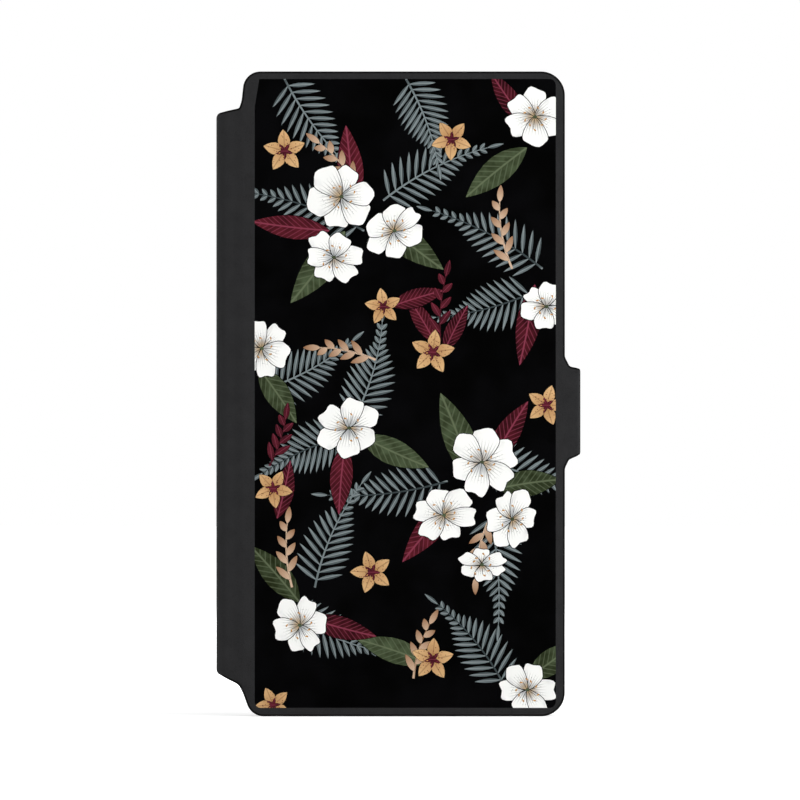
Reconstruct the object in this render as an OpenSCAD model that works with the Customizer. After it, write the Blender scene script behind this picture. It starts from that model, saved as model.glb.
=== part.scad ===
// Folio case for a large slab phone, closed and standing on its lower edge.
// A moulded tray is bonded to a rear cover, a soft spine loop carries the printed front
// cover, and a short strap folds round the open side, where its magnet meets a steel plate.
// X runs to the right and Z up, as the case is seen from the front, and the front faces -Y.

/* [Phone] */
// Width of the phone that the tray holds
phone_w = 78.1; // [76:0.1:84]
// Height of the phone
phone_h = 163.4; // [158:0.1:172]
// Thickness of the phone
phone_t = 8.9; // [8:0.1:10.5]
// Corner radius of the phone
phone_corner_r = 4; // [3:0.1:6]
// Play between the phone and the tray
phone_clear = 0.2; // [0.1:0.05:0.4]

/* [Tray] */
// Thickness of the tray's side walls
tray_wall = 1.4; // [1.2:0.05:1.8]
// Thickness of the tray's floor
tray_floor = 1; // [0.8:0.05:1.6]
// Rounding of the tray's outer edges
tray_edge_r = 0.7; // [0.3:0.05:0.9]
// Reach of the snap lip over the phone's glass
lip_reach = 0.8; // [0.5:0.05:1.2]
// Width of the camera window
camera_w = 40; // [30:1:46]
// Height of the camera window
camera_h = 58; // [40:1:68]
// Corner radius of the camera window
camera_r = 9; // [6:0.5:14]
// From the phone's side edge to the camera window
camera_side = 4.5; // [4:0.5:8]
// From the phone's top edge to the camera window
camera_top = 5; // [4:0.5:9]
// Wall of the collar that lines the camera window
collar_wall = 1; // [0.8:0.1:1.4]
// Clearance round the collar in the rear cover
collar_clear = 0.15; // [0.1:0.05:0.3]
// How far the collar ends below the rear face
collar_sink = 0.2; // [0.1:0.05:0.5]

/* [Ports in the lower wall] */
// Width of the charging port's opening
port_w = 13; // [11:0.5:16]
// Opening of the charging port from front to back
port_t = 6.5; // [6:0.1:7]
// Width of the speaker slot
speaker_w = 14; // [8:0.5:16]
// Opening of the speaker slot from front to back
speaker_t = 2.4; // [1.5:0.1:3.5]
// From the port's middle to the speaker slot's middle
speaker_off = 18; // [17:0.5:22]
// Width of the pen opening
pen_w = 8; // [7:0.5:9]
// Opening of the pen slot from front to back
pen_t = 5.6; // [5:0.1:6.4]
// From the port's middle to the pen opening's middle
pen_off = 27; // [22:0.5:29]
// Radius of the microphone holes
mic_r = 0.9; // [0.5:0.1:1.5]
// From the middle to a microphone hole
mic_off = 12; // [10:0.5:15]

/* [Buttons] */
// From the phone's top to the middle of the volume button
volume_drop = 46; // [38:0.5:50]
// Length of the volume button
volume_len = 22; // [16:0.5:24]
// From the phone's top to the middle of the power button
power_drop = 68; // [65:0.5:72]
// Length of the power button
power_len = 10; // [8:0.5:12]
// Width of both buttons from front to back
button_w = 3.4; // [2.8:0.1:4.2]
// How far a button stands out of the wall
button_proud = 0.7; // [0.5:0.05:0.9]
// Travel of a button
button_travel = 0.35; // [0.2:0.05:0.4]
// Clearance round a button in its window
button_clear = 0.15; // [0.1:0.05:0.25]
// Thickness of the flange that holds a button in
flange_t = 0.35; // [0.25:0.05:0.4]
// Play of the flange behind its ledge
flange_play = 0.05; // [0.02:0.01:0.1]
// Reach of the flange beyond the button
flange_reach = 0.6; // [0.4:0.05:0.8]

/* [Covers] */
// Reach of both covers past the tray at its sides
overhang_side = 1.9; // [1.7:0.05:3]
// Reach of both covers past the tray at its ends
overhang_end = 1.7; // [1.5:0.05:3]
// Corner radius on the open side
corner_open_r = 6.3; // [4:0.1:7]
// Corner radius at the top of the fold side
corner_top_r = 4.9; // [4:0.1:6.5]
// Corner radius at the bottom of the fold side
corner_bottom_r = 5.3; // [4:0.1:6.5]
// Rounding of the leather over the covers' edges
edge_r = 0.5; // [0.3:0.05:0.8]
// Thickness of the leather
skin_t = 0.9; // [0.8:0.05:1.2]
// Thickness of the stiffening boards
board_t = 1; // [0.8:0.05:1.6]
// Thickness of the linings
lining_t = 0.45; // [0.3:0.05:0.8]
// Width of the leather turned in round a board
hem_w = 1.5; // [1.2:0.1:2.2]
// Clearance round a board inside its leather
board_clear = 0.1; // [0.05:0.05:0.3]
// Air between the closed front cover and the tray
cover_gap = 0.3; // [0.25:0.05:0.5]
// Thickness of the adhesive under the tray
adhesive_t = 0.25; // [0.15:0.05:0.4]
// From the tray's edge to the adhesive
adhesive_inset = 2.5; // [2:0.5:4]

/* [Printed panel] */
// Thickness of the printed panel
panel_t = 0.45; // [0.3:0.05:0.6]
// Leather border on the fold side
panel_fold = 3.6; // [2.5:0.1:6]
// Leather border on the open side
panel_open = 2.35; // [2:0.05:5]
// Leather border at the top
panel_top = 1.95; // [1.8:0.05:5]
// Leather border at the bottom
panel_bottom = 2.2; // [1.8:0.05:5]
// Corner radius of the panel
panel_r = 1.6; // [1:0.1:4]
// Width of the slant at the panel's top corner by the fold
slant_w = 1.3; // [0.5:0.1:3]
// Height of that slant
slant_h = 7; // [4:0.5:12]
// Clearance round the panel in its recess
panel_clear = 0.05; // [0.02:0.01:0.15]

/* [Pockets] */
// Thickness of the banknote pocket
cash_t = 0.35; // [0.3:0.05:0.5]
// From the fold to the mouth of the banknote pocket
cash_mouth = 7.6; // [7.5:0.1:9]
// Thickness of a card pocket
pocket_t = 0.3; // [0.25:0.05:0.4]
// Cover of a card by its pocket, from the mouth to the seam
pocket_depth = 50; // [44:0.5:51]
// Step from one pocket's mouth to the next
pocket_step = 9; // [6:0.5:9]
// Height of a card
card_h = 85.6; // [80:0.1:90]
// Leather beyond a card at each end of its pocket
pocket_margin = 2.4; // [2:0.1:4]
// From the cover's top to the card pockets
pocket_drop = 22; // [14:0.5:50]
// Radius of the thumb notch in a pocket's mouth
thumb_r = 7; // [5:0.5:8]
// Clearance from the pockets to the tray's lip
pocket_clear = 0.5; // [0.4:0.05:1]
// Corner radius of the pockets
pocket_r = 3; // [2:0.5:6]

/* [Spine] */
// Reach of the spine loop past the fold line
spine_reach = 6.8; // [6:0.1:9]
// Outer corner radius of the loop, seen from above
spine_corner_r = 2.8; // [2.4:0.1:4.5]
// Thickness of the loop's lining
spine_lining_t = 0.9; // [0.8:0.05:1.1]
// Thickness of the strip that keeps the spine's back flat
spine_board_t = 0.5; // [0.3:0.05:0.6]
// Gap between a cover and the spine at the fold line
fold_gap = 0.3; // [0.2:0.05:0.5]
// Depth of the crease at the fold line
fold_drop = 0.3; // [0.2:0.05:0.5]
// From the cover's top to the spine's top at the fold
notch_top = 9.6; // [7:0.1:14]
// Fall of the spine's top edge towards its back
notch_top_fall = 0.9; // [0.2:0.1:3]
// Fillet between the cover's edge and the spine's top edge
notch_top_r = 1.5; // [0.8:0.1:2]
// From the cover's bottom to the spine's bottom at the fold
notch_bottom = 8.9; // [7:0.1:14]
// Rise of the spine's bottom edge towards its back
notch_bottom_rise = 1.7; // [0.2:0.1:3]
// Fillet between the cover's edge and the spine's bottom edge
notch_bottom_r = 2.2; // [0.8:0.1:2.6]
// Rounding of the spine's outer corners, seen from the front
notch_corner_r = 1; // [0.5:0.1:1.5]

/* [Closing strap] */
// Reach of the strap past the covers' open edge
tab_reach = 4.1; // [4:0.1:6]
// Height of the strap
tab_h = 24; // [20:0.5:30]
// From the covers' mid-height down to the strap's middle
tab_drop = 4.9; // [4:0.1:10]
// Length of the strap from the front face to its tail
tab_wrap = 14.6; // [14:0.1:15.5]
// Thickness of the strap's leather, and of its lining
tab_ply_t = 0.9; // [0.7:0.05:1]
// Gap between the strap and its root at the crease
tab_gap = 0.3; // [0.2:0.05:0.5]
// Fillet where the root grows out of the cover
tab_flare_r = 1.9; // [1.2:0.1:2.5]
// Corner radius of the strap's tail
tab_tail_r = 4; // [2:0.5:6]
// Rounding of the strap's edges
tab_edge_r = 0.6; // [0.3:0.05:0.65]
// Height of the magnet
magnet_h = 12; // [8:0.5:16]
// Width of the magnet from front to back
magnet_w = 3.4; // [3:0.1:3.8]
// Thickness of the magnet
magnet_t = 1.4; // [1:0.1:1.5]
// Clearance round the magnet and the steel plate
magnet_clear = 0.05; // [0.02:0.01:0.1]
// Width of the pad over the magnet, and of the boss under the plate
pad_w = 5; // [4.6:0.1:5.2]
// Wall of the pad and of the boss above and below the metal
pad_wall = 1.4; // [1:0.1:3]
// Corner radius of the pad and of the boss
pad_r = 1; // [0.5:0.1:2]
// Thickness of the steel plate
keeper_t = 0.6; // [0.4:0.1:0.8]
// How far the plate's boss stands out of the tray
keeper_proud = 1.3; // [1:0.05:1.5]
// Air between the closed pad and the steel plate
pad_gap = 0.6; // [0.55:0.05:0.8]

/* [Hidden] */
$fn = 96;
// Facets round the corners and over the edges of the soft, rounded pieces
corner_fn = 40;
edge_fn = 16;
// Points along a quarter turn of a cut outline
arc_steps = 12;
// How far a cutter runs past the face that it opens
past = 1;
// Number of card pockets, each a node of its own
card_pockets = 3;
// Least radius of a corner inside a wall, and the radius of one that is left square
least_r = 0.1;
square_r = 0.01;

// Outlines, worked out from the phone
bay_w = phone_w + 2 * phone_clear;
bay_h = phone_h + 2 * phone_clear;
bay_r = phone_corner_r + phone_clear;
tray_w = bay_w + 2 * tray_wall;
tray_h = bay_h + 2 * tray_wall;
tray_r = bay_r + tray_wall;
cover_w = tray_w + 2 * overhang_side;
cover_h = tray_h + 2 * overhang_end;
fold_x = spine_reach - (spine_reach + cover_w + tab_reach) / 2;
open_x = fold_x + cover_w;
leaf_x = fold_x + fold_gap / 2;
tray_x = fold_x + overhang_side;
tray_z = overhang_end;
tray_open_x = tray_x + tray_w;
bay_x = tray_x + tray_wall;
bay_z = tray_z + tray_wall;
middle_x = tray_x + tray_w / 2;
phone_top_z = bay_z + bay_h - phone_clear;

// Layers from front to back
pocket_stack = cash_t + card_pockets * pocket_t;
lip_t = pocket_stack - phone_clear;
leaf_t = skin_t + board_t + lining_t;
case_t = 2 * leaf_t + cover_gap + lip_t + phone_t + phone_clear + tray_floor + adhesive_t;
front_y = -case_t / 2;
rear_y = case_t / 2;
front_inner_y = front_y + leaf_t;
rear_inner_y = rear_y - leaf_t;
tray_y = front_inner_y + cover_gap;
bay_y = tray_y + lip_t;
bay_t = phone_t + phone_clear;
tray_t = lip_t + bay_t + tray_floor;
bay_mid_y = bay_y + bay_t / 2;

// Camera window, on the right as seen from the front
camera_x = bay_x + bay_w - phone_clear - camera_side - camera_w;
camera_z = phone_top_z - camera_top - camera_h;
collar_out = collar_wall + collar_clear;

// Recess inside each leather cover
recess_x = leaf_x + hem_w;
recess_w = open_x - hem_w - recess_x;
recess_h = cover_h - 2 * hem_w;

// Lip opening that the pockets sit in when the case is closed
mouth_x = bay_x + lip_reach;
mouth_w = bay_w - 2 * lip_reach;
mouth_z = bay_z + lip_reach;
mouth_h = bay_h - 2 * lip_reach;
mouth_r = bay_r - lip_reach;
seam_x = mouth_x + mouth_w - pocket_clear;
cash_x = fold_x + cash_mouth;
pocket_h = card_h + 2 * pocket_margin;
pocket_z = cover_h - pocket_drop - pocket_h;

// Spine loop
spine_x = fold_x - spine_reach;
spine_root_x = fold_x - fold_gap / 2;
spine_top_z = cover_h - notch_top;
spine_t = skin_t + spine_lining_t;
spine_board_w = case_t - 2 * fold_drop - 2 * spine_corner_r;

// Closing strap
tab_t = 2 * tab_ply_t;
tab_out_x = open_x + tab_reach;
tab_in_x = tab_out_x - tab_t;
tab_fold_x = tab_out_x - tab_ply_t;
tab_fold_y = front_y + tab_ply_t;
tab_mid_z = cover_h / 2 - tab_drop;
tab_tail_y = front_y + tab_wrap;
root_x = tab_in_x - tab_gap;
keeper_x = tray_open_x + keeper_proud;
pad_x = keeper_x + pad_gap;
pad_h = magnet_h + 2 * pad_wall;
pad_y = tray_y + tray_t - pad_w - magnet_clear;

leather = [0.17, 0.17, 0.175];
microfibre = [0.13, 0.13, 0.135];
cardboard = [0.55, 0.5, 0.42];
moulding = [0.09, 0.09, 0.095];
steel = [0.72, 0.73, 0.75];
magnet = [0.5, 0.51, 0.53];
film = [0.75, 0.74, 0.7];
print_black = [0.02, 0.02, 0.02];

// Points of an arc, from one angle to another
function arc(x, z, r, from, to) =
  [for (i = [0:arc_steps]) let (a = from + (to - from) * i / arc_steps) [x + r * cos(a), z + r * sin(a)]];

// A front-view outline made t thick, with its front at y
module layer(y, t) translate([0, y + t, 0]) rotate([90, 0, 0]) linear_extrude(t) children();

// A side-view outline made t thick, growing towards +X from x
module slab(x, t) translate([x, 0, 0]) rotate([90, 0, 90]) linear_extrude(t) children();

// What rounding a square corner by r takes away
module corner_waste(r) {
  difference() {
    translate([-past, -past]) square(r + past);
    translate([r, r]) circle(r);
  }
}

// Rectangle with its own radius at each corner: bottom left, bottom right, top right, top left
module sheet(x, z, w, h, radii) {
  difference() {
    translate([x, z]) square([w, h]);
    translate([x, z]) corner_waste(radii[0]);
    translate([x + w, z]) mirror([1, 0]) corner_waste(radii[1]);
    translate([x + w, z + h]) rotate(180) corner_waste(radii[2]);
    translate([x, z + h]) mirror([0, 1]) corner_waste(radii[3]);
  }
}

module even_sheet(x, z, w, h, r) sheet(x, z, w, h, [r, r, r, r]);

// Round slot, w wide and t high, round its middle
module slot(w, t) {
  square([w - t, t], center = true);
  for (side = [-1, 1]) translate([side * (w - t) / 2, 0]) circle(t / 2);
}

// Round button of radius r and thickness t, with its rim rounded by e
module puck(r, t, e) {
  rotate([90, 0, 0]) rotate_extrude($fn = corner_fn) {
    square([r - e, t]);
    translate([0, e]) square([r, t - 2 * e]);
    for (rise = [e, t - e]) translate([r - e, rise]) circle(e, $fn = edge_fn);
  }
}

// Soft-edged plate in the front view, with its own radius at each corner
module soft_plate(x, z, w, h, radii, y, t, e) {
  hull() {
    translate([x + radii[0], y + t, z + radii[0]]) puck(radii[0], t, e);
    translate([x + w - radii[1], y + t, z + radii[1]]) puck(radii[1], t, e);
    translate([x + w - radii[2], y + t, z + h - radii[2]]) puck(radii[2], t, e);
    translate([x + radii[3], y + t, z + h - radii[3]]) puck(radii[3], t, e);
  }
}

cover_radii = [corner_bottom_r, corner_open_r, corner_open_r, corner_top_r];

// Leather over a cover: rounded edges, and a recess for the board and the lining
module leather_leaf(y, recess_y) {
  difference() {
    soft_plate(leaf_x, 0, open_x - leaf_x, cover_h, cover_radii, y, leaf_t, edge_r);
    layer(recess_y, board_t + lining_t + past) recess_outline(0);
  }
}

// Outline of a cover's recess, drawn in by a clearance
module recess_outline(clear) {
  sheet(recess_x + clear, hem_w + clear, recess_w - 2 * clear, recess_h - 2 * clear,
        [for (r = cover_radii) r - hem_w - clear]);
}

// Camera window, made wider all round by grow
module camera_outline(grow) {
  even_sheet(camera_x - grow, camera_z - grow, camera_w + 2 * grow, camera_h + 2 * grow, camera_r + grow);
}

// Rear cover

module rear_skin() color(leather) difference() {
  leather_leaf(rear_inner_y, rear_inner_y - past);
  layer(rear_inner_y - past, leaf_t + 2 * past) camera_outline(collar_out);
}

module rear_board() color(cardboard) layer(rear_y - skin_t - board_t, board_t) difference() {
  recess_outline(board_clear);
  camera_outline(collar_out);
}

module rear_lining() color(microfibre) layer(rear_inner_y, lining_t) difference() {
  recess_outline(board_clear);
  camera_outline(collar_out);
}

module tray_adhesive() color(film) layer(rear_inner_y - adhesive_t, adhesive_t) difference() {
  even_sheet(tray_x + adhesive_inset, tray_z + adhesive_inset,
             tray_w - 2 * adhesive_inset, tray_h - 2 * adhesive_inset, tray_r);
  camera_outline(collar_out);
}

// Moulded tray: snap lip, camera collar, ports, button windows and the plate's boss
module phone_tray() color(moulding) difference() {
  union() {
    soft_plate(tray_x, tray_z, tray_w, tray_h, [tray_r, tray_r, tray_r, tray_r],
               tray_y, tray_t, tray_edge_r);
    layer(tray_y + tray_t - tray_floor, tray_floor + adhesive_t + leaf_t - collar_sink)
      camera_outline(collar_wall);
    slab(tray_open_x - tray_wall / 2, tray_wall / 2 + keeper_proud) pad_outline(pad_y, pad_w, pad_h);
  }
  layer(bay_y, bay_t) even_sheet(bay_x, bay_z, bay_w, bay_h, bay_r);
  layer(tray_y - past, lip_t + 2 * past) even_sheet(mouth_x, mouth_z, mouth_w, mouth_h, mouth_r);
  layer(bay_y, case_t) camera_outline(0);
  lower_ports();
  translate([middle_x - mic_off, bay_mid_y, tray_z + tray_h]) mic_hole();
  button_window(volume_drop, volume_len);
  button_window(power_drop, power_len);
  slab(keeper_x - keeper_t, keeper_t + past) metal_outline(magnet_clear);
}

// Openings in the tray's lower wall, seen from below
module lower_ports() {
  translate([middle_x, bay_mid_y, tray_z - past]) linear_extrude(tray_wall + 2 * past) {
    slot(port_w, port_t);
    translate([speaker_off, 0]) slot(speaker_w, speaker_t);
    translate([-pen_off, 0]) slot(pen_w, pen_t);
  }
  translate([middle_x - mic_off, bay_mid_y, tray_z]) mic_hole();
}

module mic_hole() translate([0, 0, -tray_wall - past]) cylinder(r = mic_r, h = 2 * (tray_wall + past));

// Window for a button, with a step inside the wall that its flange rests behind
module button_window(drop, len) {
  ledge = tray_wall - flange_t - button_travel;
  translate([0, bay_mid_y, phone_top_z - drop]) {
    slab(tray_open_x - ledge - past, ledge + 2 * past)
      rotate(90) slot(len + 2 * button_clear, button_w + 2 * button_clear);
    slab(tray_open_x - tray_wall - past, tray_wall - ledge + past)
      rotate(90) slot(len + 2 * (flange_reach + button_clear), button_w + 2 * (flange_reach + button_clear));
  }
}

// Button cap with its flange, pushed in by its travel until it presses the phone's key
module side_button(drop, len) color(moulding) translate([0, bay_mid_y, phone_top_z - drop]) {
  flange_x = tray_open_x - tray_wall + button_travel;
  slab(flange_x, tray_wall - button_travel + button_proud) rotate(90) slot(len, button_w);
  slab(flange_x, flange_t - flange_play) rotate(90) slot(len + 2 * flange_reach, button_w + 2 * flange_reach);
}

module volume_button() side_button(volume_drop, volume_len);
module power_button() side_button(power_drop, power_len);

module keeper_plate() color(steel) slab(keeper_x - keeper_t, keeper_t) metal_outline(0);

// Spine

// Loop seen from above, drawn in from its outer face by a depth
module loop_section(depth) {
  half = case_t / 2 - fold_drop - depth;
  corner_r = max(spine_corner_r - depth, least_r);
  sheet(spine_x + depth, -half, spine_root_x - spine_x - depth + past, 2 * half,
        [corner_r, square_r, square_r, corner_r]);
}

// Wall of the loop between two depths, cut to the notched outline
module loop_wall(from, to) {
  intersection() {
    linear_extrude(cover_h) difference() {
      loop_section(from);
      loop_section(to);
    }
    layer(front_y, case_t) spine_outline();
  }
}

// Spine seen from the front: its edges slope from the fold to its back
module spine_outline() {
  polygon(concat(
    arc(spine_root_x - notch_top_r, spine_top_z + notch_top_r, notch_top_r, 0, -90),
    arc(spine_x + notch_corner_r, spine_top_z - notch_top_fall - notch_corner_r, notch_corner_r, 90, 180),
    arc(spine_x + notch_corner_r, notch_bottom + notch_bottom_rise + notch_corner_r, notch_corner_r, 180, 270),
    arc(spine_root_x - notch_bottom_r, notch_bottom - notch_bottom_r, notch_bottom_r, 90, 0)
  ));
}

module spine_skin() color(leather) loop_wall(0, skin_t);

module spine_board() color(cardboard) board_strip(0);

module spine_lining() color(microfibre) difference() {
  loop_wall(skin_t, spine_t);
  board_strip(board_clear);
}

// Flat strip behind the spine's leather, grown all round by a clearance
module board_strip(grow) {
  low = notch_bottom + notch_bottom_rise + notch_corner_r + hem_w;
  high = spine_top_z - notch_top_fall - notch_corner_r - hem_w;
  slab(spine_x + skin_t, spine_board_t)
    even_sheet(-spine_board_w / 2 - grow, low - grow, spine_board_w + 2 * grow, high - low + 2 * grow, hem_w);
}

// Front cover

module front_skin() color(leather) difference() {
  union() {
    leather_leaf(front_y, front_y + skin_t);
    layer(front_y, tab_t) tab_root();
  }
  layer(front_y - past, panel_t + past) panel_outline(0);
}

// Root of the strap, flared into the cover's open edge
module tab_root() {
  half = tab_h / 2;
  polygon(concat(
    [[open_x - hem_w, tab_mid_z + half + tab_flare_r], [open_x - hem_w, tab_mid_z - half - tab_flare_r]],
    arc(open_x + tab_flare_r, tab_mid_z - half - tab_flare_r, tab_flare_r, 180, 90),
    [[root_x, tab_mid_z - half], [root_x, tab_mid_z + half]],
    arc(open_x + tab_flare_r, tab_mid_z + half + tab_flare_r, tab_flare_r, 270, 180)
  ));
}

// Outline of the printed panel, drawn in by a clearance, with a slant at the notch
module panel_outline(clear) {
  left = fold_x + panel_fold + clear;
  top = cover_h - panel_top - clear;
  difference() {
    even_sheet(left, panel_bottom + clear, open_x - panel_open - clear - left,
               top - panel_bottom - clear, panel_r - clear);
    polygon([[left - past, top + past], [left + slant_w, top + past], [left + slant_w, top],
             [left, top - slant_h], [left - past, top - slant_h]]);
  }
}

module print_panel() color(print_black) layer(front_y, panel_t) panel_outline(panel_clear);

module front_board() color(cardboard) layer(front_y + skin_t, board_t) recess_outline(board_clear);

module front_lining() color(microfibre) layer(front_inner_y - lining_t, lining_t) recess_outline(board_clear);

module cash_pocket() color(leather) layer(front_inner_y, cash_t)
  even_sheet(cash_x, mouth_z + pocket_clear, seam_x - cash_x, mouth_h - 2 * pocket_clear, pocket_r);

// Card pocket, counted from the lining outwards, with a thumb notch in its mouth
module card_pocket(place) color(leather)
  layer(front_inner_y + cash_t + (place - 1) * pocket_t, pocket_t) {
    left = seam_x - pocket_depth - (card_pockets - place) * pocket_step;
    difference() {
      even_sheet(left, pocket_z, seam_x - left, pocket_h, pocket_r);
      translate([left, pocket_z + pocket_h / 2]) circle(thumb_r);
    }
  }

// Closing strap

// Whole strap: a rounded nose about the crease and a round-cornered tail
module tab_blank() {
  half = tab_h / 2;
  hull() for (side = [-1, 1]) {
    translate([tab_fold_x, tab_fold_y, tab_mid_z + side * (half - tab_edge_r)]) nose_end();
    translate([tab_in_x, tab_tail_y - tab_tail_r, tab_mid_z + side * (half - tab_tail_r)])
      rotate([0, 0, 90]) puck(tab_tail_r, tab_t, tab_edge_r);
  }
}

// End of the nose: a disc with a rounded rim
module nose_end() rotate_extrude($fn = corner_fn) {
  translate([0, -tab_edge_r]) square([tab_ply_t - tab_edge_r, 2 * tab_edge_r]);
  intersection() {
    translate([tab_ply_t - tab_edge_r, 0]) circle(tab_edge_r, $fn = edge_fn);
    translate([0, -tab_edge_r]) square([tab_ply_t, 2 * tab_edge_r]);
  }
}

// Share of the strap that is lining: its inner half, from just behind the nose
module tab_inner_half() {
  translate([tab_in_x - past, tab_fold_y + tab_t, tab_mid_z - tab_h])
    cube([tab_ply_t + past, tab_wrap, 2 * tab_h]);
}

module tab_skin() color(leather) difference() {
  tab_blank();
  tab_inner_half();
}

module tab_lining() color(microfibre) intersection() {
  tab_blank();
  tab_inner_half();
}

// Side-view outline of the magnet and the steel plate, grown by a clearance
module metal_outline(grow) {
  mid = pad_y + pad_w / 2;
  translate([mid - magnet_w / 2 - grow, tab_mid_z - magnet_h / 2 - grow])
    square([magnet_w + 2 * grow, magnet_h + 2 * grow]);
}

module pad_outline(y, w, h) even_sheet(y, tab_mid_z - h / 2, w, h, pad_r);

module tab_pad() color(leather) difference() {
  slab(pad_x, tab_in_x - pad_x) pad_outline(pad_y, pad_w, pad_h);
  slab(tab_in_x - magnet_t, magnet_t + past) metal_outline(magnet_clear);
}

module tab_magnet() color(magnet) slab(tab_in_x - magnet_t, magnet_t) metal_outline(0);

rear_skin();
rear_board();
rear_lining();
tray_adhesive();
phone_tray();
keeper_plate();
volume_button();
power_button();
spine_skin();
spine_board();
spine_lining();
front_skin();
print_panel();
front_board();
front_lining();
cash_pocket();
card_pocket(1);  // card_pocket_1
card_pocket(2);  // card_pocket_2
card_pocket(3);  // card_pocket_3
tab_skin();
tab_lining();
tab_pad();
tab_magnet();
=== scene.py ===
"""Looks of a folio phone case that stands closed on its lower edge, seen square from the front.
"""

import bmesh
import bpy
import numpy as np
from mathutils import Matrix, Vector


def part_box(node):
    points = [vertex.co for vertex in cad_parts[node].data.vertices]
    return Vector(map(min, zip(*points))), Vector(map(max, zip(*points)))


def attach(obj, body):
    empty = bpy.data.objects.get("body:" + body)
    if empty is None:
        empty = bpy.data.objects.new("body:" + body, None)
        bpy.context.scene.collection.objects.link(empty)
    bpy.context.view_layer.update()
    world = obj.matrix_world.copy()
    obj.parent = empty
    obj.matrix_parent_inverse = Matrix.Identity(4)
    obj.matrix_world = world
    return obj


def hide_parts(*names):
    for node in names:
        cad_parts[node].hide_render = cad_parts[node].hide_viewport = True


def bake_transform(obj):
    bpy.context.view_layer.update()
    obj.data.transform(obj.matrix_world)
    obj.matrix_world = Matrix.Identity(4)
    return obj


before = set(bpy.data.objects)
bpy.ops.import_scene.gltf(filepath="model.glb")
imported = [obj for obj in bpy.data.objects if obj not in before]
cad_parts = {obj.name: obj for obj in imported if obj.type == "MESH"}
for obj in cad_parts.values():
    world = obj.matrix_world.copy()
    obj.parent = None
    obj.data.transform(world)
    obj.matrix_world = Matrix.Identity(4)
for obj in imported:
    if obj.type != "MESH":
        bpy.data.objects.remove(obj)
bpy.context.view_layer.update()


# ---- Leather over the front cover ----------------------------------------------------------
# Black PU leather cut in one piece: it covers the front board and its turned-in edge, runs on
# over the fold round half of the spine, and grows into the root of the closing strap.

METRE = 0.001


def box_of(node):
    """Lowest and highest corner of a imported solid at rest, in millimetres."""
    return [np.array(corner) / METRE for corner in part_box(node)]


(COVER_LEFT, FRONT_Y, _), (_, _, COVER_TOP) = box_of("front_skin")
SPINE_BACK, SPINE_FACE, _ = box_of("spine_skin")[0]
PAST_PLATE = 0.6  # from the steel plate in the tray's wall to the cover's open side
COVER_OPEN = box_of("keeper_plate")[1][0] + PAST_PLATE
LEAF_THICK, SPINE_THICK, SKIN_THICK, LINING_THICK = 2.35, 1.8, 0.9, 0.45
HEM, HEM_ROUND = 1.5, 0.1
FRONT_ROUND, BACK_ROUND, FACE_BAND = 0.5, 0.35, 0.3
SPINE_SLOPE, ROOT_SLOPE = 1, 0.8
CREASE_FROM, CREASE_TO = -43.6, -40.6
STRAP_SEAM = 45.85
# The spine's face is straight as far as ROLL_FROM, and half its back ends in the middle, at SEAM_U.
SPINE_ROLL = 2.8
ROLL_FROM = SPINE_BACK + SPINE_ROLL
ROLL_TO = ROLL_FROM - SPINE_ROLL * np.pi / 2
SEAM_U = ROLL_TO + (SPINE_FACE + SPINE_ROLL)
# Corners of the cover's outline as (x, z, radius), below and above: from the spine's back over the
# notch to the long edge, the open side's own radius, and the root of the strap.
NOTCHES = ([(SPINE_BACK, 12.0, 0), (SPINE_BACK, 11.28, 1.0), (-42.04, 8.34, 3.0),
            (-40.85, 5.85, 6.0), (-38.7, 0, 4.6)],
           [(SPINE_BACK, 158.1, 0), (SPINE_BACK, 158.97, 1.0), (-41.95, 160.33, 0.8),
            (-41.3, 162.3, 8.0), (-40.5, COVER_TOP, 4.6)])
OPEN_ROUND = 6.3
ROOTS = ([(COVER_OPEN, 65.4, 3.0), (44.95, 67.6, 1.0), (STRAP_SEAM, 68.05, 0)],
         [(COVER_OPEN, 94.7, 2.5), (45.15, 92.3, 0.8), (STRAP_SEAM, 92.1, 0)])
# Steps of the outline's arcs and lines, in their order, without and with the root of the strap,
# and then those of the spine's back, of the rungs from edge to edge and round an opening.
ARC_STEPS, ROOT_ARCS = [8, 8, 3, 12, 14], [5, 5]
LINE_STEPS, OPEN_LINE, ROOT_LINES = [1, 12, 3, 1, 14], [12], [8, 2, 1]
BACK_STEPS, SPINE_RUNGS, STRAP_RUNGS, RING_STEPS, CORNER_STEPS = 3, 24, 8, 7, 12


def ease(value, low, high):
    """Smooth step: 3t^2 - 2t^3, where t runs from 0 at low to 1 at high."""
    t = np.clip((np.asarray(value, float) - low) / (high - low), 0, 1)
    return t * t * (3 - 2 * t)


def arc(x, z, radius, start, stop, steps):
    """Points (x + r cos a, z + r sin a), with the angle a from start to stop in degrees."""
    a = np.radians(np.linspace(start, stop, steps + 1))
    return np.stack([x + radius * np.cos(a), z + radius * np.sin(a)], -1)


def run(start, stop, steps):
    """Points on a line, or rungs between two chains, spaced evenly: (1 - t) start + t stop."""
    start, stop = np.array(start, float), np.array(stop, float)
    t = np.linspace(0, 1, steps + 1).reshape(-1, *[1] * start.ndim)
    return (1 - t) * start + t * stop


def chain(*parts):
    """One polyline of several, without the points that two neighbours share."""
    joined = np.concatenate([np.atleast_2d(p) for p in parts])
    step = np.linalg.norm(np.diff(joined, axis=0), axis=1)
    return joined[np.concatenate([[True], step > 1e-6])]


def lengths(line):
    """Distance along a polyline from its start to each of its points."""
    return np.concatenate([[0], np.cumsum(np.linalg.norm(np.diff(line, axis=0), axis=1))])


def inward(line, closed=False):
    """Unit normals to the left of a polyline, from the chord between each point's neighbours."""
    if closed:
        chord = np.roll(line, -1, 0) - np.roll(line, 1, 0)
    else:
        chord = np.gradient(line, axis=0)
    return np.stack([-chord[:, 1], chord[:, 0]], -1) / np.linalg.norm(chord, axis=1)[:, None]


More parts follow.
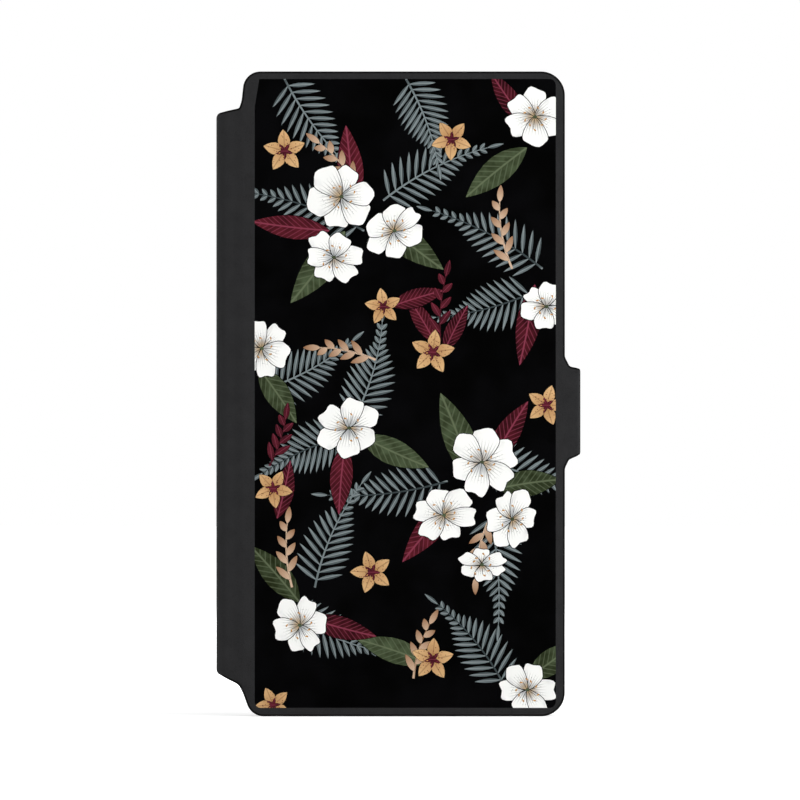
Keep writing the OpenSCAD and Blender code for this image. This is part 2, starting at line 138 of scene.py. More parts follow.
def rolled(x):
    """Distance along the leather, as X on the front, with the spine's roll unrolled."""
    turn = np.arcsin(np.clip((ROLL_FROM - x) / SPINE_ROLL, 0, 1))
    return np.maximum(x, ROLL_FROM) - SPINE_ROLL * turn


def rounded(corners, steps, runs):
    """Polyline with an arc at each inner corner, given as (x, z, radius): the arc starts and ends
    r tan(turn / 2) from its corner. Steps counts the parts of an arc, and runs those of a line."""
    at, radii = np.array(corners, float)[:, :2], np.array(corners, float)[:, 2]
    way = np.diff(at, axis=0)
    way /= np.linalg.norm(way, axis=1)[:, None]
    parts, start = [], at[0]
    for a, b, corner, radius, bow, straight in zip(way, way[1:], at[1:], radii[1:], steps, runs):
        turn = np.arctan2(a[0] * b[1] - a[1] * b[0], a @ b)
        angle = np.linspace(0, turn, bow + 1)[:, None]
        first = corner - a * radius * abs(np.tan(turn / 2))
        side = np.array([-a[1], a[0]])
        parts += [run(start, first, straight),
                  first + radius * np.sign(turn) * (np.sin(angle) * a + (1 - np.cos(angle)) * side)]
        start = parts[-1][-1]
    return chain(*parts, run(start, at[-1], runs[-1]))


def cover_edges(root):
    """The cover's outline in two chains, the lower one and the upper one, each from the middle of
    the spine's back to the open side. They end at the strap's seam, or meet if there is no root.
    Returns both, with the places in them where the spine and the root join on."""
    steps = ARC_STEPS + (ROOT_ARCS if root else [])
    runs = LINE_STEPS + (ROOT_LINES if root else OPEN_LINE)
    chains = []
    for notch, branch, edge in zip(NOTCHES, ROOTS, (0, COVER_TOP)):
        ending = branch if root else [(COVER_OPEN, COVER_TOP / 2, 0)]
        line = rounded(notch + [(COVER_OPEN, edge, OPEN_ROUND)] + ending, steps, runs)
        line[:, 0] = rolled(line[:, 0])
        chains.append(chain(run((SEAM_U, line[0, 1]), line[0], BACK_STEPS), line))
    spine = BACK_STEPS + sum(runs[:3]) + sum(steps[:3])
    return *chains, spine, spine + sum(runs[3:6]) + sum(steps[3:5])


def quarter(radius):
    """Quarter circle from a face to its side, as (inset, depth): (r - r sin a, r - r cos a)."""
    a = np.radians(np.linspace(0, 90, 6))
    return radius * np.stack([1 - np.sin(a), 1 - np.cos(a)], -1)


def rim(front_round):
    """Section of a folded edge, from the face to the back: (inset, depth, share of the leaf's
    thickness). Two quarter circles join the face, the side and the hem turned in behind."""
    rows = [(front_round + FACE_BAND, 0, 0)] + [(*row, 0) for row in quarter(front_round)]
    rows += [(*row, 1) for row in quarter(BACK_ROUND)[::-1] * (1, -1)]
    return np.array(rows + [(HEM - HEM_ROUND, 0, 1), (HEM, -HEM_ROUND, 1), (HEM, SKIN_THICK, 0)])


def levels(line, normals, section, thickness):
    """A chain carried through a section: rows of (u, z, depth, pattern u, pattern z, inset). The
    pattern runs on over the edge by the section's own length, as the leather does. Its ends are
    cut square to an axis, where the next piece joins on."""
    normals = np.concatenate([np.round(normals[:1]), normals[1:-1], np.round(normals[-1:])])
    inset, depth, share = (c[:, None, None] for c in section.T)
    thick = thickness(line[:, 0])[None, :, None]
    along = section[0, 0] - lengths(section[:, :2] + section[:, 2:] * (0, LEAF_THICK))
    return np.concatenate([line + inset * normals, depth + share * thick,
                           line + along[:, None, None] * normals, inset + 0 * thick], -1)


WELD, NO_LENGTH, SHARP_ANGLE = 0.002, 0.0001, 40


def faced_out(mesh):
    """Welds the points that meet, and turns every face outwards."""
    work = bmesh.new()
    work.from_mesh(mesh)
    bmesh.ops.remove_doubles(work, verts=work.verts, dist=WELD * METRE)
    bmesh.ops.dissolve_degenerate(work, edges=work.edges, dist=NO_LENGTH * METRE)
    bmesh.ops.recalc_face_normals(work, faces=work.faces)
    work.to_mesh(mesh)
    work.free()
    mesh.shade_smooth()


def add_piece(name, mesh, finish=None):
    """Puts a mesh into the scene as a piece, with its finish."""
    if finish:
        mesh.materials.append(finish)
    piece = bpy.data.objects.new(name, mesh)
    bpy.context.scene.collection.objects.link(piece)
    return piece


def mesh_of(name, patches, polygons, bend, finish):
    """One closed mesh from grids and flat polygons of (u, z, depth, pattern u, pattern z, inset),
    bent into place by bend and welded where they meet. The pattern is the UV map Cut, and the
    inset from the nearest edge is the attribute Rim, both in millimetres."""
    points, faces, start = [], [], 0
    for grid in patches:
        rows, cols = grid.shape[:2]
        i = start + np.arange(rows * cols).reshape(rows, cols)
        quads = np.stack([i[:-1, :-1], i[1:, :-1], i[1:, 1:], i[:-1, 1:]], -1)
        faces += quads.reshape(-1, 4).tolist()
        points.append(grid.reshape(-1, 6))
        start += rows * cols
    for polygon in polygons:
        faces.append(list(range(start, start + len(polygon))))
        points.append(polygon)
        start += len(polygon)
    points = np.concatenate(points)
    mesh = bpy.data.meshes.new(name)
    mesh.from_pydata(bend(*points[:, :3].T) * METRE, [], faces)
    corners = np.zeros(len(mesh.loops), int)
    mesh.loops.foreach_get("vertex_index", corners)
    mesh.uv_layers.new(name="Cut").data.foreach_set("uv", points[corners, 3:5].ravel())
    inset = mesh.attributes.new("Rim", "FLOAT", "POINT")
    inset.data.foreach_set("value", points[:, 5].copy())
    faced_out(mesh)
    mesh.set_sharp_from_angle(angle=np.radians(SHARP_ANGLE))
    return add_piece(name, mesh, finish)


def round_cover(side):
    """Bend that lays a cut piece on the case: its face follows the cover, sinks a little over the
    crease, and rolls round the spine to the middle of its back. Depth runs into the case."""

    def bend(u, z, depth):
        turn = np.clip((ROLL_FROM - u) / SPINE_ROLL, 0, np.pi / 2)
        past = np.minimum(u - ROLL_TO, 0)
        face = SPINE_FACE + (FRONT_Y - SPINE_FACE) * ease(u, CREASE_FROM, CREASE_TO)
        radius = SPINE_ROLL - depth
        x = np.where(u > ROLL_FROM, u, ROLL_FROM - radius * np.sin(turn))
        y = np.where(u > ROLL_FROM, face + depth,
                     SPINE_FACE + SPINE_ROLL - radius * np.cos(turn) - past)
        return np.stack([x, side * y, z], -1)

    return bend


def leaf_thickness(u):
    """Leather, board and lining together: thinner over the spine and at the strap's root, with a
    slope before the cover's edge and past its open side."""
    cover = (ease(u, COVER_LEFT - SPINE_SLOPE, COVER_LEFT)
             * (1 - ease(u, COVER_OPEN, COVER_OPEN + ROOT_SLOPE)))
    return SPINE_THICK + (LEAF_THICK - SPINE_THICK) * cover


def spread(outer, marks, sides):
    """Points on an opening's four sides that answer to those of a closed loop round it: each side
    keeps the share of its length that the loop has between the same two marks."""
    found = np.zeros((len(outer), 2))
    count = len(outer)
    for mark, after, side in zip(marks, np.roll(marks, -1), sides):
        index = np.arange(mark, after + (count if after <= mark else 0) + 1) % count
        length, own = lengths(outer[index, :2]), lengths(side)
        share = length / length[-1] * own[-1]
        found[index] = np.stack([np.interp(share, own, axis) for axis in side.T], -1)
    return found


def closed(grid):
    """A ring's grid with its first column repeated at the end."""
    return np.concatenate([grid, grid[:, :1]], 1)


def flat(line, depth, inset=1.0):
    """A line of (u, z) at one depth, which reads its pattern where it lies."""
    each = np.ones((len(line), 1))
    return np.concatenate([line, depth * each, line, inset * each], -1)


def cover_leather(root, section, opening, depths):
    """Grids and polygons of a cover's leather with its half of the spine. Its face and its back
    are rings between the outline and an opening, or whole where their depth is None, with a
    ladder over the spine and, at the strap, another."""
    low, top, spine, corner = cover_edges(root)
    low_rows = levels(low, inward(low), section, leaf_thickness)
    top_rows = levels(top, -inward(top), section, leaf_thickness)
    patches, polygons = [low_rows, top_rows], []
    # The opening's corners answer to the middles of the outline's four arcs.
    first = LINE_STEPS[3] + ARC_STEPS[3] // 2
    second = first + ARC_STEPS[3] // 2 + LINE_STEPS[4] + ARC_STEPS[4] // 2
    for row, depth in zip((0, -1), depths):
        a, b = low_rows[row], top_rows[row]
        hinge = run(a[: spine + 1], b[: spine + 1], SPINE_RUNGS)
        middle = run(a[corner:], b[corner:], STRAP_RUNGS)
        patches += [hinge, middle] if root else [hinge]
        right = middle[1:-1, 0] if root else np.zeros((0, 6))
        loop = np.concatenate([a[spine : corner + 1], right, b[spine : corner + root][::-1],
                               hinge[1:-1, -1][::-1]])
        if depth is None:
            polygons.append(loop)
            continue
        whole = 2 * (corner - spine) + (len(right) + 1) * root
        marks = [first, second, whole - second, whole - first]
        hole = flat(spread(loop, marks, opening), depth)
        patches.append(closed(run(loop, hole, RING_STEPS)))
        polygons.append(hole)
    return low_rows, top_rows, patches, polygons


def ends_cap(low_rows, top_rows, column, steps):
    """Flat end where a cut piece is joined to the next: both edges' sections and the rungs."""
    front, back = (run(low_rows[k, column], top_rows[k, column], steps)[1:-1] for k in (0, -1))
    return np.concatenate([low_rows[:, column], back, top_rows[::-1, column], front[::-1]])


def corner_arcs(low, high, radius, steps):
    """The corners of a round-cornered rectangle, counter-clockwise from the lower left."""
    (left, bottom), (right, top) = np.add(low, radius), np.subtract(high, radius)
    return [arc(left, bottom, radius, 180, 270, steps), arc(right, bottom, radius, 270, 360, steps),
            arc(right, top, radius, 0, 90, steps), arc(left, top, radius, 90, 180, steps)]


def opening_sides(low, high, radius, slant=None):
    """Four sides of a round-cornered opening, split at the middle of its corners: bottom, right,
    top and left. A slant, as (along, down), cuts the top corner at the left."""
    corner, half = corner_arcs(low, high, radius, CORNER_STEPS), CORNER_STEPS // 2
    sides = [chain(corner[k][half:], corner[(k + 1) % 4][: half + 1]) for k in range(4)]
    if slant:
        cut = run((low[0] + slant[0], high[1]), (low[0], high[1] - slant[1]), CORNER_STEPS)
        sides[2:] = chain(corner[2][half:], cut[:1]), chain(cut, corner[0][: half + 1])
    return sides


class Shade:
    """One socket of a material. Sums on it add Math nodes, and node() adds any other node."""

    def __init__(self, socket):
        self.socket = socket

    def node(self, kind, sockets, output=0, **settings):
        """A new node of that kind, with its settings, then its sockets' values or links."""
        tree = self.socket.id_data
        made = tree.nodes.new("ShaderNode" + kind)
        for name, value in settings.items():
            setattr(made, name, value)
        for name, value in sockets.items():
            if isinstance(value, Shade):
                tree.links.new(value.socket, made.inputs[name])
            else:
                made.inputs[name].default_value = value
        return Shade(made.outputs[output])

    def math(self, operation, *values):
        return self.node("Math", dict(enumerate((self, *values))), operation=operation)

    def __add__(self, other):
        return self.math("ADD", other)

    def __sub__(self, other):
        return self.math("SUBTRACT", other)

    def __mul__(self, other):
        return self.math("MULTIPLY", other)

    def __truediv__(self, other):
        return self.math("DIVIDE", other)

    __radd__, __rmul__ = __add__, __mul__

    def __rsub__(self, other):
        return self.node("Math", {0: other, 1: self}, operation="SUBTRACT")

    def above(self, low, high):
        """0 below low, 1 above high, and smooth between."""
        return self.node("MapRange", {"Value": self, "From Min": low, "From Max": high},
                         interpolation_type="SMOOTHSTEP")

    def mixed(self, first, second):
        """A colour from first to second, with this value as the share of the second."""
        return self.node("Mix", {0: self, 6: first, 7: second}, output=2, data_type="RGBA")

    def stretched(self, x, y, z=1.0):
        """The vector with each of its parts multiplied."""
        return self.node("VectorMath", {0: self, 1: (x, y, z)}, operation="MULTIPLY")

    def noise(self, scale, detail=2.0, output=0):
        """Noise on this vector, with so many spots to the millimetre."""
        return self.node("TexNoise", {"Vector": self, "Scale": scale, "Detail": detail}, output)

    def cells(self, scale, feature="DISTANCE_TO_EDGE"):
        """Cells on this vector: the distance to their edges, or with F1 to their middles."""
        return self.node("TexVoronoi", {"Vector": self, "Scale": scale}, feature=feature)

    def to(self, shader, socket):
        self.socket.id_data.links.new(self.socket, shader.inputs[socket])

    def relief(self, shader, strength, height):
        """Bumps the surface by this value, up to a height in millimetres."""
        self.node("Bump", {"Height": self, "Strength": strength, "Distance": height * METRE}).to(
            shader, "Normal")

    def on_object(self):
        """The object's own coordinates in millimetres, in this material."""
        return self.node("TexCoord", {}, output=3).stretched(*3 * [1 / METRE])


def colour(red, green, blue):
    """Linear colour, with alpha, of an sRGB colour given in 0 to 255."""
    part = np.array([red, green, blue]) / 255
    linear = np.where(part > 0.04045, ((part + 0.055) / 1.055) ** 2.4, part / 12.92)
    return (*linear.tolist(), 1.0)


def toned(ground, share):
    """A colour with each part multiplied, which darkens or lightens it."""
    return (*[share * part for part in ground[:3]], 1.0)


def new_finish(name, source="Object", **constants):
    """A material and its Principled shader, with the sockets that are the same all over, and the
    coordinates that its patterns read in millimetres: the object's own, or a UV map's."""
    made = bpy.data.materials.new(name)
    made.use_nodes = True
    shader = made.node_tree.nodes["Principled BSDF"]
    for socket, value in constants.items():
        shader.inputs[socket.replace("_", " ")].default_value = value
    start = Shade(shader.outputs[0])
    place = start.on_object() if source == "Object" else start.node("UVMap", {}, uv_map=source)
    return made, shader, place


PEBBLES, PEBBLE_RIM = 2.6, 0.16
# Near black for the painted shade along the leather's rounded edges.
EDGE_SHADE = colour(3, 3, 3)


def leather_finish(name, ground):
    """Fine-grained PU leather: pebbles a third of a millimetre wide between fine creases, over a
    slow unevenness, with the creases a little darker and duller. Along its rounded edges it is
    painted near black, a painted shade for the edge turning from the light."""
    made, shader, place = new_finish(name, "Cut", Specular_IOR_Level=0.08)
    warp = place.noise(1.4, output=1)
    bent = place.node("VectorMath", {0: warp, 1: (0.45, 0.45, 0.45), 2: place},
                      operation="MULTIPLY_ADD")
    crease = 1 - bent.cells(PEBBLES).above(0.0, PEBBLE_RIM)
    slow, fine = place.noise(0.22, 3.0), place.noise(9.0)
    tone = slow * 0.55 + fine * 0.25 + (1 - crease) * 0.25
    grained = tone.above(0.2, 0.85).mixed(toned(ground, 0.72), toned(ground, 1.18))
    # Painted shade: within about half a millimetre of the outline the leather goes near black, as if
    # its rounded edge were turned from the light.
    inset = place.node("Attribute", {}, output=2, attribute_name="Rim") + fine * 0.1
    edge_shade = 1 - inset.above(0.38, 0.72)
    edge_shade.mixed(grained, EDGE_SHADE).to(shader, "Base Color")
    (0.56 + crease * 0.16 + slow * 0.1 + edge_shade * 0.2).to(shader, "Roughness")
    ((1 - crease) * 0.7 + fine * 0.2 + slow * 0.6).relief(shader, 0.5, 0.04)
    return made


leather = leather_finish("Black_leather", colour(36, 36, 37))

# The film's recess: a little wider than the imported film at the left, with its top corner cut there.
PANEL_LOW, PANEL_HIGH = box_of("print_panel")
PANEL_WIDER, PANEL_ROUND, PANEL_SLANT = 0.3, 1.6, (1.2, 7.4)
PANEL_LOW[0] -= PANEL_WIDER
panel_sides = opening_sides(PANEL_LOW[::2], PANEL_HIGH[::2], PANEL_ROUND, PANEL_SLANT)

SECTION = rim(FRONT_ROUND)
low_rows, top_rows, patches, polygons = cover_leather(True, SECTION, panel_sides, (0.0, None))
recess = polygons.pop(0)
sunk = recess.copy()
sunk[:, 2] = PANEL_HIGH[1] - PANEL_LOW[1]
patches.append(closed(np.stack([recess, sunk])))
polygons += [sunk, ends_cap(low_rows, top_rows, 0, SPINE_RUNGS),
             ends_cap(low_rows, top_rows, -1, STRAP_RUNGS)]
front_leather = mesh_of("front_leather", patches, polygons, round_cover(1), leather)


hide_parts("front_skin", "spine_skin")
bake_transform(front_leather)

# Behind the strap's root a strip of the leather lies between the hems, over the end of the board.
BACKING_GAP, BACKING_ROUND, BACKING_UNDER, BOARD_SLOPE = 0.03, 0.1, 0.05, 0.6
BOARD_OPEN = box_of("front_board")[1][0]
SIDE_ROW, HEM_ROW = 6, -2
root_from = cover_edges(True)[3]


def backing_edge(rows):
    """Three lines along the hem from the cover's open side to the seam, as (u, z, depth): under
    the strip, up its side, and round onto its back. Over the board it's as thick as the lining."""
    into = (rows[HEM_ROW] - rows[SIDE_ROW])[root_from:, :2] / HEM
    line = rows[HEM_ROW, root_from:, :2] + BACKING_GAP * into
    back = leaf_thickness(line[:, 0]) - BACKING_UNDER
    past_board = ease(line[:, 0], BOARD_OPEN, BOARD_OPEN + BOARD_SLOPE)
    floor = SKIN_THICK + BACKING_GAP + (1 - past_board) * (LEAF_THICK - LINING_THICK - SKIN_THICK)
    return [flat(line, floor[:, None]), flat(line, back[:, None] - BACKING_ROUND),
            flat(line + BACKING_ROUND * into, back[:, None])]


low_lines, top_lines = backing_edge(low_rows), backing_edge(top_rows)
strip = np.concatenate([np.stack(low_lines[:2]), run(low_lines[2], top_lines[2], STRAP_RUNGS),
                        top_lines[1][None], run(top_lines[0], low_lines[0], STRAP_RUNGS)])
root_backing = mesh_of("strap_root_backing", [strip], [strip[:, 0], strip[:, -1]], round_cover(1),
                       leather)
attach(root_backing, "front_cover")


# ---- Printed panel --------------------------------------------------------------------------
# A matte film with a floral print, let into the front so that it lies level with the leather.
# The inks are one flat face, cut along every motif's outline: the motif on top owns the spot.

from mathutils.geometry import delaunay_2d_cdt

GROUND, PETAL, STAMEN, FERN, PLUM, OLIVE, OCHRE, TAN = range(8)
draw = np.random.default_rng(11)
motifs = []


def heading(angle):
    """Unit vectors at angles in degrees."""
    return np.stack([np.cos(np.radians(angle)), np.sin(np.radians(angle))], -1)


def place_motif(ink, shape, origin, turn, length, half_width, bend=0.0, squash=(1.0, 0)):
    """Lays a shape, given as (along, across) from 0 to 1 and -1 to 1, on the panel: turned by an
    angle in degrees, and squashed along another where the flower is seen from its side."""
    (cos, sin), (share, tilt) = heading(turn), squash
    frame_of = np.array([[length * cos, -half_width * sin], [length * sin, half_width * cos]])
    frame_of = (np.eye(2) - (1 - share) * np.outer(heading(tilt), heading(tilt))) @ frame_of
    motifs.append((ink, shape @ frame_of.T + origin, np.array(origin, float), frame_of, bend,
                   draw.random()))


def petal_shape(ruffle=0.0, phase=0.0, steps=26):
    """Egg with a wavy rim: broad and a little notched at its tip, narrow at the centre."""
    a = np.linspace(0, 2 * np.pi, steps, endpoint=False)
    far = 0.5 + 0.5 * np.cos(a)
    wave = 1 + ruffle * far * np.cos(5 * a + phase)
    along = far * wave - 0.05 * np.exp(-((a - np.pi * np.round(a / np.pi)) ** 2) * 9) * far**4
    return np.stack([along, np.sin(a) * (0.42 + 0.58 * far) * wave], -1)


def blade_shape(bend=0.0, full=0.8, steps=11):
    """Blade: half width sin(pi t) to the power full, wider near its foot, about a line that bends
    away by bend t^2."""
    t = 0.5 - 0.5 * np.cos(np.linspace(0, np.pi, steps + 1))
    half = np.sin(np.pi * t) ** full * (1.15 - 0.35 * t)
    middle = bend * t**2
    return np.concatenate([np.stack([t, middle - half], -1),
                           np.stack([t, middle + half], -1)[-2:0:-1]])


def twice_area(outline):
    """Twice an outline's area: more than 0 where it runs counter-clockwise."""
    return np.cross(outline, np.roll(outline, -1, 0)).sum()


def inked(ink, shape, origin, turn, length, half_width, line=0.14, **form):
    """A motif drawn in all round by a dark line, which keeps it apart from those beneath."""
    place_motif(GROUND, shape, origin, turn, length, half_width, **form)
    _, outline, *rest = motifs[-1]
    inner = outline + np.sign(twice_area(outline)) * line * inward(outline, closed=True)
    motifs.append((ink, inner, *rest))


def stroke(ink, points, wide, narrow):
    """Stem or filament: a line of points with a width that tapers."""
    points = np.array(points, float)
    side = inward(points) * np.linspace(wide, narrow, len(points))[:, None] / 2
    motifs.append((ink, np.concatenate([points + side, (points - side)[::-1]]), points[0],
                   np.eye(2), 0.0, draw.random()))


def curve(start, turn, length, bend, steps):
    """Points of a line that starts in a direction and curves to the left by bend degrees."""
    step = heading(turn + bend * np.linspace(0, 1, steps + 1)) * length / steps
    return np.array(start, float) + np.concatenate([[[0, 0]], np.cumsum(step[:-1], 0)])


def fern(ink, start, turn, length, bend):
    """Frond: a curved stem with pairs of narrow blades that grow short towards its tip."""
    parts, reach = 15, 7.4
    stem = curve(start, turn, length, bend, parts)
    for place in range(1, parts):
        t = place / parts
        size = reach * (0.45 + 0.75 * np.sin(np.pi * min(t * 1.1 + 0.18, 1.0))) * (1 - 0.35 * t)
        for side in (-1, 1):
            inked(ink, blade_shape(side * 0.25, 0.7, 7), stem[place],
                  turn + bend * t + side * (66 - 34 * t), size, 0.62, 0.05)
    inked(ink, blade_shape(0, 0.7, 7), stem[-1], turn + bend, reach * 0.6, 0.6, 0.05)
    stroke(ink, stem, 0.55, 0.2)


def leaf(ink, start, turn, length, width, bend):
    """Broad blade on a short stem."""
    inked(ink, blade_shape(bend), start, turn, length, width / 2, bend=bend)


def blossom(ink, centre, size, turn, *squash):
    """Open flower: petals round a small eye, with stamens that end in anthers."""
    centre = np.array(centre, float)
    for order in np.argsort(draw.random(6)):
        angle = turn + 60 * order + draw.uniform(-6, 6)
        reach = size / 2 * draw.uniform(0.92, 1.08)
        inked(ink, petal_shape(0.05, draw.uniform(0, 6)), centre, angle, reach,
              reach * draw.uniform(0.46, 0.56), 0.19, squash=squash)
    for order in range(9):
        angle = turn + 40 * order + draw.uniform(-9, 9)
        tip = centre + size * draw.uniform(0.13, 0.2) * heading(angle)
        stroke(GROUND, [centre, tip], 0.14, 0.1)
        place_motif(STAMEN, petal_shape(steps=7), tip, angle + 60, 0.95, 0.3)
    place_motif(OLIVE, petal_shape(steps=10), centre - [0.6, 0], 0, 1.2, 0.6)


def star(ink, centre, size, turn):
    """Small five-pointed flower with a dark eye and a ring of anthers."""
    centre = np.array(centre, float)
    for angle in turn + 72 * np.arange(5):
        inked(ink, blade_shape(0.12, 0.75, 8), centre, angle, size / 2, size * 0.15, 0.08)
    for angle in turn + 36 + 72 * np.arange(5):
        place_motif(PLUM, blade_shape(0, 0.9, 5), centre, angle, size * 0.2, size * 0.05)
    place_motif(PLUM, petal_shape(steps=12), centre - [size * 0.09, 0], 0, size * 0.18, size * 0.09)
    for angle in turn + 60 * np.arange(6):
        place_motif(STAMEN, petal_shape(steps=6), centre + size * 0.1 * heading(angle), angle,
                    0.6, 0.24)


def sprig(ink, start, turn, length, bend):
    """Stem with pointed buds on both sides and one at its tip."""
    parts = 8
    stem = curve(start, turn, length, bend, parts)
    stroke(ink, stem, 0.6, 0.25)
    for place in range(1, parts):
        side = 1 if place % 2 else -1
        inked(ink, blade_shape(side * 0.2, 0.65, 7), stem[place],
              turn + bend * place / parts + side * 34, 5.4 - 0.3 * place, 0.95, 0.06)
    inked(ink, blade_shape(0, 0.65, 7), stem[-1], turn + bend, 4.6, 0.9, 0.06)


# Ferns lie lowest, then leaves and sprigs, then the flowers: each row starts with its (x, z).
for motif, ink, rows in [
    (fern, FERN, [
        (-9, 128, 152, 34, 22), (-4, 136, 38, 31, -24), (-30, 168, -62, 30, 18),
        (19, 70, -28, 33, 26), (13, 62, 196, 32, -20), (24, 54, -78, 30, -16),
        (-22, 34, 78, 30, -26), (-30, 28, -34, 29, 24), (38, 118, 142, 33, 22),
        (36, 112, 204, 27, -20), (-36, 86, 18, 27, 22), (28, 8, 118, 28, 24),
        (2, 168, -60, 24, -20), (-14, 74, 196, 24, 18), (-12, 78, 62, 27, 24)]),
    (leaf, OLIVE, [
        (-14, 128, 236, 24, 8.6, -0.3), (-6, 132, -42, 23, 8.0, 0.35), (20, 62, 108, 25, 8.6, 0.3),
        (26, 60, 12, 17, 7.4, -0.3), (-26, 30, 128, 20, 7.4, 0.3), (34, 150, 216, 21, 7.6, 0.3),
        (-37, 92, -52, 18, 7.0, -0.3), (8, 14, 158, 20, 7.0, 0.35), (34, 10, 34, 16, 7.0, 0.2),
        (-10, 74, -28, 20, 7.4, 0.3)]),
    (leaf, PLUM, [
        (-12, 134, 92, 22, 7.2, 0.3), (-18, 128, 176, 21, 6.6, -0.3), (16, 58, 226, 23, 7.4, 0.35),
        (24, 66, 62, 20, 6.8, -0.3), (-24, 26, -18, 19, 6.4, 0.3), (36, 114, 262, 22, 6.8, -0.3),
        (10, 98, 118, 15, 5.2, 0.3), (12, 96, 66, 14, 5.0, -0.3), (-32, 52, 74, 16, 5.6, 0.3),
        (34, 156, 128, 17, 5.8, -0.3), (-14, 72, 262, 19, 6.4, 0.3), (-2, 108, 20, 15, 5.4, -0.3)]),
    (sprig, TAN, [
        (-10, 138, 118, 17, 26), (30, 118, 112, 18, -26), (24, 52, 246, 16, 24),
        (-28, 34, 104, 17, -22), (4, 10, 84, 15, -24), (-6, 94, 158, 15, 22)]),
    (sprig, PLUM, [(11, 99, 92, 17, -16), (-34, 66, 62, 13, 20)]),
    (blossom, PETAL, [
        (-15, 137, 18.5, 10, 0.96, 20), (-1, 128, 17.0, 38, 0.84, 130),
        (-17, 121, 16.0, 4, 0.88, 70), (22, 67, 19.0, 20, 0.95, 40), (12, 53, 17.5, 50, 0.86, 100),
        (30, 52, 16.5, 0, 0.82, 160), (22, 40, 13.5, 30, 0.72, 90), (-26, 24, 16.0, 12, 0.9, 15),
        (36, 158, 16.5, 26, 0.9, 60), (-36, 97, 16.5, 44, 0.9, 0), (34, 7, 16.0, 8, 0.9, 30),
        (39, 108, 15.0, 18, 0.85, 90), (-13, 76, 17.5, 26, 0.92, 120)]),
    (star, OCHRE, [
        (-30, 149, 11.5, 20), (14, 152, 11.0, 50), (9, 96, 12.0, 8), (-7, 38, 11.5, 33),
        (39, 82, 11.0, 0), (-33, 60, 10.5, 60), (9, 15, 11.5, 12), (-33, 3, 10.0, 40),
        (-4, 108, 10.0, 24)]),
]:
    for x, z, *form in rows:
        motif(ink, (x, z), *form)

# The bare film counts as the lowest motif. A piece of the cut belongs to the highest that it has.
film_outline = np.concatenate([side[:-1] for side in panel_sides])
motifs.insert(0, (GROUND, film_outline, np.zeros(2), np.eye(2), 0.0, 0.0))
inks, shapes, origins, frames, bends, tints = zip(*motifs)
shapes = [s if twice_area(s) > 0 else s[::-1] for s in shapes]
starts = np.cumsum([0] + [len(s) for s in shapes])
cut_points, _, cut_faces, _, _, owners = delaunay_2d_cdt(
    [tuple(p) for p in np.concatenate(shapes)], [],
    [list(range(a, b)) for a, b in zip(starts[:-1], starts[1:])], 0, 1e-4, True)
kept = [(face, max(owner)) for face, owner in zip(cut_faces, owners) if 0 in owner]
used, triangles = np.unique(np.array([face for face, _ in kept]), return_inverse=True)
triangles = triangles.reshape(-1, 3)
cut_points = np.array([tuple(p) for p in cut_points])[used]
top_motif = np.array([top for _, top in kept])
from_origin = cut_points[triangles] - np.array(origins)[top_motif][:, None]
local_at = np.einsum("tij,tkj->tki", np.linalg.inv(frames)[top_motif], from_origin)

# Two copies of the cut make the film's front and back, and quads along its outline close it.
count = len(cut_points)
sides_of = np.stack([triangles, np.roll(triangles, -1, 1)], -1).reshape(-1, 2)
rims = sides_of[~np.isin(sides_of[:, ::-1] @ [count, 1], sides_of @ [count, 1])]
walls = np.stack([rims[:, 1], rims[:, 0], rims[:, 0] + count, rims[:, 1] + count], -1)
film_points = np.insert(np.tile(cut_points, (2, 1)), 1,
                        np.repeat([PANEL_LOW[1], PANEL_HIGH[1]], count), 1)
film = bpy.data.meshes.new("print_panel")
film.from_pydata(film_points * METRE, [],
                 triangles.tolist() + walls.tolist() + (triangles[:, ::-1] + count).tolist())
ink_at, about = np.zeros((len(film.loops), 2)), np.zeros((len(film.polygons), 4), np.float32)
ink_at[: triangles.size] = local_at.reshape(-1, 2)
about[: len(triangles)] = np.stack([bends, tints, np.zeros(len(inks)), inks], -1)[top_motif]
film.uv_layers.new(name="Ink").data.foreach_set("uv", ink_at.ravel())
film.attributes.new("Motif", "FLOAT_VECTOR", "FACE").data.foreach_set(
    "vector", about[:, :3].ravel())
film.polygons.foreach_set("material_index", about[:, 3].astype(np.int32))
print_panel = add_piece("floral_print", film)


def printed(name, paint):
    """Ink on matte film: paint works out its colour from the motif's own coordinates, along and
    across, its bend and its tint. The film keeps the leather's grain, pressed flatter."""
    made, shader, local = new_finish(name, "Ink", Specular_IOR_Level=0.01)
    along, across = (local.node("SeparateXYZ", {0: local}, output=k) for k in (0, 1))
    motif = local.node("Attribute", {}, output=1, attribute_name="Motif")
    bend, tint = (motif.node("SeparateXYZ", {0: motif}, output=k) for k in (0, 1))
    surface = local.on_object()
    paint(surface, along, across, bend, tint).to(shader, "Base Color")
    pebble = surface.cells(PEBBLES)
    (0.62 + pebble.above(0.0, 0.2) * -0.08).to(shader, "Roughness")
    pebble.above(0.0, PEBBLE_RIM).relief(shader, 0.25, 0.02)
    return made


def line_near(value, spacing, half):
    """1 on evenly spaced lines of value, 0 between them."""
    return 1 - (value * (1 / spacing)).math("PINGPONG", 0.5).above(half * 0.4, half)


def ground_paint(surface, along, across, bend, tint):
    return surface.noise(0.08).above(0.3, 0.7).mixed(colour(1, 1, 1), colour(5, 5, 6))


